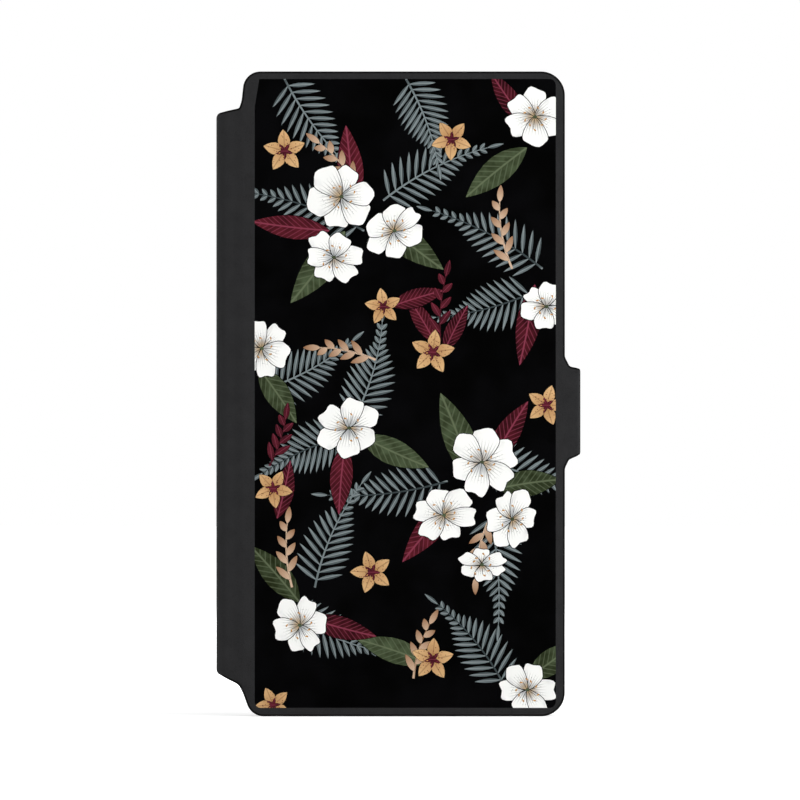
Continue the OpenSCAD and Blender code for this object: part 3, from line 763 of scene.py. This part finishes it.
def petal_paint(surface, along, across, bend, tint):
    """White that greys to the throat and along one side, with dark veins and a ring of dots."""
    wash, spots = surface.noise(0.5, 3.0), surface.cells(1.9, "F1")
    throat = 1 - along.above(0.02, 0.46)
    middle = 1 - across.math("ABSOLUTE").above(0.1, 0.55)
    veins = (line_near(across / (along + 0.32), 0.22, 0.15) * (1 - along.above(0.25, 0.7))
             * along.above(0.04, 0.16))
    dots = ((1 - spots.above(0.12, 0.24)) * along.above(0.3, 0.36) * (1 - along.above(0.5, 0.68))
            * middle)
    fold = across.above(0.15, 0.85) * wash.above(0.35, 0.7) * 0.3
    white = (throat * 0.75 + fold + tint * 0.05).mixed(colour(241, 241, 238), colour(122, 129, 134))
    warm = (throat * middle * tint.above(0.35, 0.6) * 0.8).mixed(white, colour(178, 146, 96))
    return (veins * 0.7 + dots * 0.8).mixed(warm, colour(60, 60, 64))


def stamen_paint(surface, along, across, bend, tint):
    return along.above(0.0, 1.0).mixed(colour(206, 160, 92), colour(150, 102, 52))


def fern_paint(surface, along, across, bend, tint):
    """Grey blade, paler on one side of a light rib that follows its bend."""
    off = across - bend * along * along
    rib = 1 - off.math("ABSOLUTE").above(0.08, 0.22)
    half = off.above(-0.1, 0.1) * 0.45 + along * 0.35 + tint * 0.25
    body = half.mixed(colour(54, 62, 64), colour(112, 122, 124))
    return (rib * 0.6).mixed(body, colour(152, 161, 163))


def blade_paint(dark, middle, light, spacing):
    """Ribbed blade: side veins that run up from the midrib, over a mottled ground."""

    def paint(surface, along, across, bend, tint):
        off = (across - bend * along * along).math("ABSOLUTE")
        veins = line_near(along - off * 0.22, spacing, 0.16) * off.above(0.03, 0.12)
        mottle = surface.noise(0.35, 3.0).above(0.3, 0.7)
        body = (mottle * 0.6 + tint * 0.5 - off * 0.25).mixed(dark, middle)
        return (veins * 0.4 + (1 - off.above(0.03, 0.09)) * 0.7).mixed(body, light)

    return paint


def ochre_paint(surface, along, across, bend, tint):
    """Ochre that pales to the tip, with a dark rib and speckles by the eye."""
    speckle = (1 - surface.cells(1.5, "F1").above(0.16, 0.3)) * (1 - along.above(0.6, 0.95))
    rib = 1 - across.math("ABSOLUTE").above(0.03, 0.14)
    body = (along * 0.7 + tint * 0.3).mixed(colour(160, 116, 74), colour(214, 176, 126))
    return (speckle * 0.75 + rib * 0.4).mixed(body, colour(86, 34, 28))


def tan_paint(surface, along, across, bend, tint):
    body = (along * 0.8 + tint * 0.2).mixed(colour(206, 178, 152), colour(140, 98, 66))
    return (line_near(across, 0.34, 0.2) * 0.35).mixed(body, colour(96, 64, 44))


plum_paint = blade_paint(colour(40, 12, 16), colour(84, 27, 36), colour(140, 60, 80), 0.085)
olive_paint = blade_paint(colour(34, 40, 22), colour(72, 84, 60), colour(100, 110, 84), 0.1)
for name, paint in [
    ("Print_ground", ground_paint), ("Print_petals", petal_paint), ("Print_stamens", stamen_paint),
    ("Print_ferns", fern_paint), ("Print_plum_leaves", plum_paint),
    ("Print_olive_leaves", olive_paint), ("Print_ochre_petals", ochre_paint),
    ("Print_buds", tan_paint),
]:
    film.materials.append(printed(name, paint))
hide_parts("print_panel")
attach(print_panel, "front_cover")


# ---- Leather over the rear cover ------------------------------------------------------------
# The same leather over the rear board and the other half of the spine, with a round-cornered
# window for the camera. Both pieces meet on the middle of the spine's back.

WINDOW_LOW, WINDOW_HIGH, WINDOW_ROUND = (-5.25, 102.55), (37.05, 162.85), 10.15
window_sides = opening_sides(WINDOW_LOW, WINDOW_HIGH, WINDOW_ROUND)


def cover_sheet(name, side, section, opening, depths, finish):
    """A sheet over one cover and its half of the spine, without a strap: whole, or with an
    opening whose walls join its face to its back."""
    low_rows, top_rows, patches, polygons = cover_leather(False, section, opening, depths)
    if opening:
        patches.append(closed(np.stack(polygons)))
        polygons = []
    polygons.append(ends_cap(low_rows, top_rows, 0, SPINE_RUNGS))
    return mesh_of(name, patches, polygons, round_cover(side), finish)


rear_leather = cover_sheet("rear_leather", -1, SECTION, window_sides, (0.0, SKIN_THICK), leather)
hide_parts("rear_skin")
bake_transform(rear_leather)


# ---- Closing strap --------------------------------------------------------------------------
# A tongue of the same leather that folds round the open side. It is thinned where it turns, and
# its tail and edges are turned in behind over the strap's lining.

(_, _, STRAP_LOW), (_, TAIL_Y, STRAP_HIGH) = box_of("tab_skin")
STRAP_MID = (STRAP_LOW + STRAP_HIGH) / 2
NOSE_X, NOSE_Y, NOSE_R = 47.1, -7.3, 0.9
TURN_END = NOSE_X + NOSE_R * np.pi / 2
TAIL_U, TAIL_ROUND = TURN_END + TAIL_Y - NOSE_Y, 4
FLANK_LOW, FLANK_TOP, FLANK_ROUND = STRAP_LOW + 0.8, STRAP_HIGH - 0.4, 0.95
# The strap thins from the seam to THIN_STRAP over the first slope, and is full again past the
# turn over the second. It has narrowed to its flank NARROWED past the start of its turn.
THIN_STRAP, THINS, THICKENS, NARROWED = 0.84, (0.05, 0.6), (0.7, 1.7), 0.7
AFTER_TURN, STRAP_STEPS, TAIL_STEPS, END_STEPS = 1.8, (8, 10, 8, 6), 14, 4


def round_nose(u, z, depth):
    """Bend of the strap: flat on the front, a quarter turn about the crease, and on along the
    open side. Depth runs towards the tray."""
    turn = np.clip((u - NOSE_X) / NOSE_R, 0, np.pi / 2)
    before, after = np.minimum(u, NOSE_X), np.maximum(u - TURN_END, 0)
    x = before + (NOSE_R - depth) * np.sin(turn)
    y = NOSE_Y - (NOSE_R - depth) * np.cos(turn) + after
    return np.stack([x, y, z], -1)


def strap_thickness(u):
    """Full at the root and along the tail, and one thinned layer round the crease."""
    crease = ease(u - STRAP_SEAM, *THINS) * (1 - ease(u - TURN_END, *THICKENS))
    return SPINE_THICK - (SPINE_THICK - THIN_STRAP) * crease


def strap_half(side, root, flank):
    """Half of the strap's edge, from the seam to the middle of its tail. It draws in from its
    height at the root to that along the flank by the time it has turned."""
    stops = [STRAP_SEAM, NOSE_X, TURN_END, TURN_END + AFTER_TURN, TAIL_U - TAIL_ROUND]
    us = np.concatenate([np.linspace(*part) for part in zip(stops, stops[1:], STRAP_STEPS)])
    edge = np.stack([us, np.interp(us, [STRAP_SEAM, NOSE_X + NARROWED], [root, flank])], -1)
    tail = arc(TAIL_U - TAIL_ROUND, flank - side * TAIL_ROUND, TAIL_ROUND, side * 90, 0, TAIL_STEPS)
    return chain(edge, tail, run(tail[-1], (TAIL_U, STRAP_MID), END_STEPS))


def strap_rows(side, root, flank):
    """Half of the strap's edge carried through a section whose front round grows from the root to
    the flank. Its depths are shares of the thickness, so that they thin down with it at the
    crease. Its normals are square to the strap along the flank, where the edge slants a little
    and the columns would cross, and to the edge itself round the tail."""
    line = strap_half(side, root, flank)
    normals = -side * inward(line)
    normals[line[:, 0] < TAIL_U - TAIL_ROUND - 0.01] = (0, -side)
    ends = []
    for front_round in (FRONT_ROUND, FLANK_ROUND):
        section = rim(front_round)
        section[:, 2] += section[:, 1] / SPINE_THICK
        section[:, 1] = 0
        ends.append(levels(line, normals, section, strap_thickness))
    share = ease(line[:, 0], STRAP_SEAM, TURN_END)[None, :, None]
    return (1 - share) * ends[0] + share * ends[1]


low_rows = strap_rows(-1, ROOTS[0][-1][1], FLANK_LOW)
top_rows = strap_rows(1, ROOTS[1][-1][1], FLANK_TOP)
patches = [low_rows, top_rows] + [run(low_rows[k], top_rows[k], STRAP_RUNGS) for k in (0, -1)]
strap_leather = mesh_of("strap_leather", patches, [ends_cap(low_rows, top_rows, 0, STRAP_RUNGS)],
                        round_nose, leather)
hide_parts("tab_skin")
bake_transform(strap_leather)


# ---- Boards and adhesive --------------------------------------------------------------------
# Grey bookbinder's board stiffens both covers and the back of the spine, and a film of adhesive
# holds the tray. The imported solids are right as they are: they get paper fibres and tack.


def fibre_finish(name, pale, dark, roughness):
    """Pressed fibres: long noise across fine noise."""
    made, shader, place = new_finish(name, Specular_IOR_Level=0.2)
    strands, specks = place.stretched(0.6, 0.6, 5.0).noise(1.0, 4.0), place.noise(2.5)
    (strands * 0.6 + specks * 0.4).above(0.3, 0.7).mixed(dark, pale).to(shader, "Base Color")
    (roughness + specks * 0.1).to(shader, "Roughness")
    strands.relief(shader, 0.3, 0.04)
    return made


def repaint(finish, *nodes):
    """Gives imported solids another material, in the slots that they have."""
    for node in nodes:
        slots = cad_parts[node].data.materials
        slots.clear()
        slots.append(finish)


greyboard = fibre_finish("Greyboard", colour(152, 146, 132), colour(118, 110, 96), 0.8)
tack = fibre_finish("Adhesive_film", colour(214, 210, 196), colour(190, 184, 166), 0.35)
repaint(greyboard, "front_board", "rear_board", "spine_board")
repaint(tack, "tray_adhesive")


# ---- Linings --------------------------------------------------------------------------------
# Brushed microfibre glued inside the covers and on over the fold, in from the turned-in leather
# all round. Each lining meets the other on the middle of the spine's back, as the leather does.

LINING_IN = HEM + 0.1


def nap_finish(name, pale, dark):
    """Short nap: fine noise for the fibres, and broad soft strokes where it was brushed."""
    made, shader, place = new_finish(name, "Cut", Specular_IOR_Level=0.08, Roughness=0.95,
                                     Sheen_Weight=0.25, Sheen_Roughness=0.5)
    fibres, strokes = place.noise(5.0, 4.0), place.stretched(0.05, 0.16).noise(1.0)
    (fibres * 0.5 + strokes * 0.5).above(0.34, 0.68).mixed(dark, pale).to(shader, "Base Color")
    fibres.relief(shader, 0.4, 0.05)
    return made


microfibre = nap_finish("Microfibre", colour(66, 66, 69), colour(44, 44, 47))
lining_section = np.array([
    (LINING_IN + 0.4, 0, 1), (LINING_IN + 0.12, 0, 1), (LINING_IN + 0.03, -0.03, 1),
    (LINING_IN, -0.12, 1), (LINING_IN, -LINING_THICK, 1)])
front_lining = cover_sheet("front_lining_sheet", 1, lining_section, None, (None, None), microfibre)
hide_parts("front_lining", "spine_lining")
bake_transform(front_lining)
rear_lining = cover_sheet("rear_lining_sheet", -1, lining_section, window_sides,
                          (LEAF_THICK, LEAF_THICK - LINING_THICK), microfibre)
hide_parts("rear_lining")
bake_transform(rear_lining)


# ---- Pockets --------------------------------------------------------------------------------
# A long pocket for banknotes and three for cards, of thin leather, one on the other inside the
# front cover. Their edges are folded, and lockstitch holds them at the ends and by the open side.


def inside_front(u, z, depth):
    """Flat bend inside the front cover, with depth from the cover's face."""
    return np.stack([u, FRONT_Y + depth, z], -1)


def flat_piece(name, outline, section, bend, finish):
    """Closed piece from an outline, counter-clockwise, and a section of (inset, depth) rows: the
    outline drawn in by each inset, at its depth. A flat polygon closes it at both ends."""
    into = inward(outline, closed=True)
    rows = np.stack([flat(outline + inset * into, depth, inset) for inset, depth in section])
    return mesh_of(name, [closed(rows)], [rows[0], rows[-1]], bend, finish)


def round_box(low, high, radius):
    """Closed outline of a rectangle with round corners, counter-clockwise from its left side."""
    return chain(*corner_arcs(low, high, radius, 10))


def fold_section(top, thick):
    """Folded edge of thin leather: a low bead, then a shallow line where the turned-in part ends
    below, as (inset, depth). Top is the depth of the side that shows."""
    return [(1.17, top - 0.02), (1.07, top - 0.02), (0.87, top - 0.05), (0.65, top - 0.015),
            (0.4, top), (0.18, top), (0.06, top - 0.05), (0, top - 0.13), (0, top - thick)]


pocket_leather = leather_finish("Pocket_leather", colour(48, 48, 49))
POCKETS = ["cash_pocket", "card_pocket_1", "card_pocket_2", "card_pocket_3"]
POCKET_ROUND, NOTCH_R, LIP_R = 3, 7, 1.2
RISE = np.sqrt((NOTCH_R + LIP_R) ** 2 - LIP_R**2)
LEAN = np.degrees(np.arctan2(RISE, LIP_R))
pocket_boxes = [box_of(node) for node in POCKETS]
for node, (low_at, high_at) in zip(POCKETS, pocket_boxes):
    outline = round_box(low_at[::2], high_at[::2], POCKET_ROUND)
    if node != "cash_pocket":
        lip_x, middle = low_at[0] + LIP_R, (low_at[2] + high_at[2]) / 2
        outline = chain(outline, arc(lip_x, middle + RISE, LIP_R, 180, 180 + LEAN, 6),
                        arc(low_at[0], middle, NOTCH_R, LEAN, -LEAN, 24),
                        arc(lip_x, middle - RISE, LIP_R, 180 - LEAN, 180, 6))
    section = fold_section(high_at[1] - FRONT_Y, high_at[1] - low_at[1])
    piece = flat_piece(node + "_leather", outline, section, inside_front, pocket_leather)
    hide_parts(node)
    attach(piece, "front_cover")


def thread_finish(name, ground):
    """Twisted polyester thread: slanted plies, worked out from the object's own coordinates."""
    made, shader, place = new_finish(name, Specular_IOR_Level=0.3)
    ply = place.node("TexWave", {"Vector": place, "Scale": 3.2, "Distortion": 0.4},
                     wave_type="BANDS", bands_direction="DIAGONAL")
    ply.mixed(toned(ground, 0.6), ground).to(shader, "Base Color")
    (0.5 + ply * 0.15).to(shader, "Roughness")
    return made


black_thread = thread_finish("Black_thread", colour(74, 74, 76))


def stitches(name, routes, pitch, share, thick, up, body):
    """Lockstitch along polylines: needle holes spaced evenly by about the pitch, with a round
    thread over that share of each step. The thread bows up by sin(pi t) of its height and thins
    to its ends, in eight rings of six points."""
    holes, up = [], np.array(up)
    for route in routes:
        length = lengths(route)
        count = max(int(length[-1] / pitch), 1)
        first = np.arange(count) * length[-1] / count
        last = first + length[-1] / count * share
        holes.append([[np.interp(s, length, axis) for axis in route.T] for s in (first, last)])
    starts, ends = np.concatenate(holes, 2).transpose(0, 2, 1)
    along = ends - starts
    side = np.cross(along, up)
    side /= np.linalg.norm(side, axis=1)[:, None]
    t, around = np.linspace(0, 1, 8)[:, None], np.radians(np.arange(6) * 60)[:, None]
    height = (np.sin(np.pi * t) - 0.45) * thick * 0.5
    girth = thick / 2 * np.sqrt(np.maximum(1 - (2 * t - 1) ** 4, 0.05))
    middle = starts[:, None] + along[:, None] * t + height * up
    ring = np.cos(around) * side[:, None] + np.sin(around) * up
    points = middle[:, :, None] + girth[:, None] * ring[:, None]
    number = np.arange(points[..., 0].size).reshape(points.shape[:3])
    after = np.roll(number, -1, 2)
    walls = np.stack([number[:, :-1], after[:, :-1], after[:, 1:], number[:, 1:]], -1)
    tips = number[:, [0, -1]].reshape(-1, 6)
    mesh = bpy.data.meshes.new(name)
    mesh.from_pydata(points.reshape(-1, 3) * METRE, [],
                     walls.reshape(-1, 4).tolist() + tips.tolist())
    faced_out(mesh)
    piece = add_piece(name, mesh, black_thread)
    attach(piece, body)


# The cash pocket and the top card pocket are stitched on three sides, and the two between them
# only where they show past the next.
STITCH_IN, STITCH_END, STITCH_UP, NEXT_GAP = 1.5, 1.2, 0.02, 0.3
PITCH, STITCH_SHARE, THREAD = 2.6, 0.74, 0.3
next_edges = [None, pocket_boxes[2][0][0], pocket_boxes[3][0][0], None]
for node, (low_at, high_at), next_edge in zip(POCKETS, pocket_boxes, next_edges):
    y, left, right = high_at[1] + STITCH_UP, low_at[0] + STITCH_END, high_at[0] - STITCH_IN
    low_z, high_z = low_at[2] + STITCH_IN, high_at[2] - STITCH_IN
    if next_edge is None:
        routes = [[(left, y, low_z), (right, y, low_z), (right, y, high_z), (left, y, high_z)]]
    else:
        routes = [[(left, y, z), (next_edge - NEXT_GAP, y, z)] for z in (low_z, high_z)]
    stitches(node + "_stitching", [np.array(route) for route in routes], PITCH, STITCH_SHARE,
             THREAD, (0, 1, 0), "front_cover")


# ---- Phone tray -----------------------------------------------------------------------------
# Injection-moulded tray with its snap lip, ports, button windows and camera collar. The packed
# solid shows it all, and gets the spark-eroded texture that such a mould leaves.


def moulded_finish(name, ground):
    """Moulded plastic: fine eroded grain, and faint broad flow in its gloss."""
    made, shader, place = new_finish(name, Specular_IOR_Level=0.3)
    grain, flow = place.noise(6.0, 3.0), place.stretched(0.03, 0.03, 0.09).noise(1.0)
    tone = (grain * 0.5 + flow * 0.5).above(0.3, 0.7)
    tone.mixed(toned(ground, 0.8), ground).to(shader, "Base Color")
    (0.48 + grain * 0.14 + flow * 0.08).to(shader, "Roughness")
    grain.relief(shader, 0.35, 0.03)
    return made


repaint(moulded_finish("Moulded_black", colour(40, 40, 42)), "phone_tray")


# ---- Side buttons ---------------------------------------------------------------------------
# Two caps of the same plastic in the tray's side wall, each with a soft rim and a shallow dish
# for the finger. A flange behind the wall keeps the cap in.

KEY_HALF, KEY_ROUND, FLANGE, FLANGE_THICK = 1.7, 0.4, 0.6, 0.3
DISH = [(1.45, 0.16), (1.2, 0.14), (0.9, 0.07), (0.65, 0.01), (0.45, 0)]


def facing_x(face, way):
    """Bend onto a wall that faces along X: (u, z) are Y and Z, and depth runs from the face to
    higher X, or to lower X where way is -1."""
    return lambda u, z, depth: np.stack([face + way * depth, u, z], -1)


key_plastic = moulded_finish("Button_black", colour(46, 46, 48))
for node, body in (("volume_button", "volume_key"), ("power_button", "power_key")):
    low_at, high_at = box_of(node)
    middle, thick = (low_at + high_at) / 2, high_at[0] - low_at[0]
    reach = (high_at[2] - low_at[2]) / 2 - FLANGE - KEY_HALF
    outline = chain(arc(middle[1], middle[2] - reach, KEY_HALF, 180, 360, 20),
                    arc(middle[1], middle[2] + reach, KEY_HALF, 0, 180, 20))
    section = DISH + [*quarter(KEY_ROUND), (0, thick - FLANGE_THICK),
                      (-FLANGE, thick - FLANGE_THICK), (-FLANGE, thick)]
    piece = flat_piece(node + "_cap", outline, section, facing_x(high_at[0], -1), key_plastic)
    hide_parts(node)
    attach(piece, body)


# ---- Strap lining, pad, magnet and steel plate ----------------------------------------------
# Microfibre lines the tail of the strap. On it a small stitched leather pad holds the magnet,
# which closes on a steel plate let into the tray's side.

LINE_FROM, LINE_IN, LINE_ROUND, LINE_FACE = TURN_END + 1.85, HEM + 0.05, 2.5, 0.85
outline = round_box((LINE_FROM, FLANK_LOW + LINE_IN), (TAIL_U - LINE_IN, FLANK_TOP - LINE_IN),
                    LINE_ROUND)
strap_lining = flat_piece(
    "strap_lining", outline,
    [(0.4, SPINE_THICK), (0.12, SPINE_THICK), (0.03, SPINE_THICK - 0.04), (0, SPINE_THICK - 0.12),
     (0, LINE_FACE)], round_nose, microfibre)
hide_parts("tab_lining")
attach(strap_lining, "closing_tab")

# The pad's face looks at the tray, with a line of stitches in a shallow groove round its middle.
PAD_ROUND, PAD_CORNER, PAD_DOME = 0.6, 1.2, 0.12
low_at, high_at = box_of("tab_pad")
section = [(1.16, 0.02), (1.08, 0.03), (1.0, 0.08), (0.92, 0.17), (0.84, 0.2), (0.7, 0.16),
           *(quarter(PAD_ROUND) + (0, PAD_DOME)), (0, high_at[0] - low_at[0])]
outline = round_box(low_at[1:], high_at[1:], PAD_CORNER)
magnet_pad = flat_piece("magnet_pad", outline, section, facing_x(low_at[0], 1), pocket_leather)
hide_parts("tab_pad")
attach(magnet_pad, "closing_tab")

GROOVE_IN, GROOVE_DEPTH = 0.85, 0.17
path = outline + GROOVE_IN * inward(outline, closed=True)
path = np.insert(np.concatenate([path, path[:1]]), 0, low_at[0] + GROOVE_DEPTH, 1)
stitches("magnet_pad_stitching", [path], 1.5, 0.72, 0.22, (-1, 0, 0), "closing_tab")


def metal_finish(name, ground, grain):
    """Bare metal with grain that runs one way."""
    made, shader, place = new_finish(name, Metallic=1.0)
    lines = place.stretched(*grain).noise(1.0, 3.0)
    lines.mixed(toned(ground, 0.8), ground).to(shader, "Base Color")
    (0.22 + lines * 0.2).to(shader, "Roughness")
    lines.relief(shader, 0.15, 0.01)
    return made


repaint(metal_finish("Brushed_steel", colour(196, 198, 202), (8.0, 8.0, 0.4)), "keeper_plate")
repaint(metal_finish("Nickel_plate", colour(176, 178, 182), (1.5, 1.5, 1.5)), "tab_magnet")


# ---- Studio ---------------------------------------------------------------------------------
# The case stands on a pale floor before a plain grey, between soft boxes that light it at a
# plain level. The camera is far off and square to the front cover.

scene = bpy.context.scene
scene.view_settings.view_transform = "Standard"

VIEW_X, VIEW_Z, VIEW_WIDTH, DISTANCE, SENSOR = 0.44, 83.39, 210.86, 4000, 36
lens = bpy.data.cameras.new("front")
lens.sensor_width = SENSOR
lens.lens = SENSOR * DISTANCE / VIEW_WIDTH
lens.clip_end = 20
camera = bpy.data.objects.new("front", lens)
camera.location = (VIEW_X * METRE, (FRONT_Y - DISTANCE) * METRE, VIEW_Z * METRE)
camera.rotation_euler = (np.pi / 2, 0, 0)
scene.collection.objects.link(camera)
scene.camera = camera

world = bpy.data.worlds.new("studio")
world.use_nodes = True
scene.world = world
paths = world.node_tree.nodes.new("ShaderNodeLightPath").outputs
seen = Shade(paths["Is Camera Ray"]).math("MAXIMUM", Shade(paths["Is Glossy Ray"])).math(
    "MAXIMUM", Shade(paths["Is Transmission Ray"]))
seen.mixed(colour(147, 147, 147), (1, 1, 1, 1)).to(world.node_tree.nodes["Background"], "Color")

# Soft boxes as (name, place, width and height in metres, watts), all aimed at the case's middle.
CASE_MID = Vector((0, 0, 0.085))
for name, place, width, height, power in [
    ("key", (0.6, -1.5, 1.2), 1.4, 1.4, 10),
    ("fill", (-1.1, -1.5, 0.5), 1.2, 1.2, 5),
    ("left_edge", (-1.3, -0.2, 0.3), 0.5, 1.2, 6.5),
    ("right_edge", (0.75, -0.35, 0.25), 0.4, 0.8, 7.8),
    ("behind", (-0.5, 1.6, 0.9), 1.2, 1.2, 19),
]:
    lamp = bpy.data.lights.new(name, "AREA")
    lamp.shape, lamp.size, lamp.size_y, lamp.energy = "RECTANGLE", width, height, power
    soft_box = bpy.data.objects.new(name, lamp)
    soft_box.location = place
    soft_box.rotation_euler = (CASE_MID - Vector(place)).to_track_quat("-Z", "Y").to_euler()
    scene.collection.objects.link(soft_box)

# The floor glows for the camera alone, a painted glow: white at a distance, and weaker near the case,
# where it shows light grey and takes its shadow.
FLOOR_HALF = 6.0
pale, shader, place = new_finish("Pale_floor", Roughness=1.0, Specular_IOR_Level=0.0,
                                 Emission_Strength=1.0)
place.noise(0.05).mixed(colour(232, 232, 232), colour(236, 236, 236)).to(shader, "Base Color")
glow_with_distance = place.node("VectorMath", {0: place}, output=1, operation="LENGTH").above(120, 420)
camera_rays = place.node("LightPath", {}, output=0)
# Painted glow: white emission seen only by camera rays, from 0.45 near the case to full strength far
# from it.
((0.45 + glow_with_distance * 0.55) * camera_rays).mixed((0, 0, 0, 1), (1, 1, 1, 1)).to(shader, "Emission Color")
floor_mesh = bpy.data.meshes.new("floor")
floor_mesh.from_pydata([(x * FLOOR_HALF, y * FLOOR_HALF, 0)
                        for x, y in ((-1, -1), (1, -1), (1, 1), (-1, 1))], [], [(0, 1, 2, 3)])
add_piece("floor", floor_mesh, pale)
